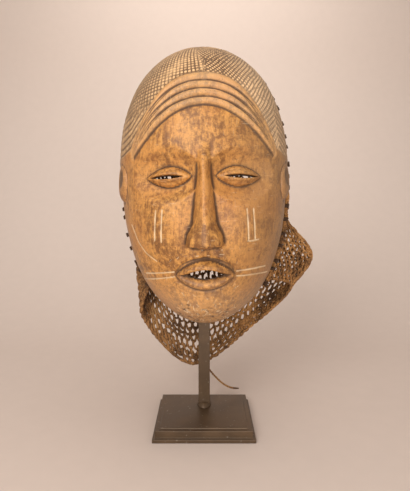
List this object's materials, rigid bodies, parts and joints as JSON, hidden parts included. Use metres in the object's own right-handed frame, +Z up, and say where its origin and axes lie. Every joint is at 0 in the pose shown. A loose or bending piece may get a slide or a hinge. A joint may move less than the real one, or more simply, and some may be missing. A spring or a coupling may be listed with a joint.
{
  "type": "carved face mask on a stand",
  "caption": "Hollow carved wooden face mask with arched hair bands and a knotted fibre net hood, held on a square metal post over a stepped rectangular base.",
  "frame": {"origin": "centre of the base's underside", "axes": "+Z up, -Y the way the face looks, +X to the right of someone who looks at the face"},
  "size_m": [0.1938, 0.1666, 0.3552],
  "materials": {
    "carved_wood": "old waxed patina, rubbed and scratched",
    "net_fibre": "dry knotted plant fibre",
    "lacing_fibre": "dark plant fibre",
    "post_metal": "dark bronzed, satin",
    "base_metal": "dark brown, satin"
  },
  "bodies": {
    "root": {"mask": "carved_wood", "net_hood": "net_fibre", "lacing_cord": "lacing_fibre", "loose_string": "net_fibre", "stand_post": "post_metal", "stand_base": "base_metal"}
  },
  "joints": []
}
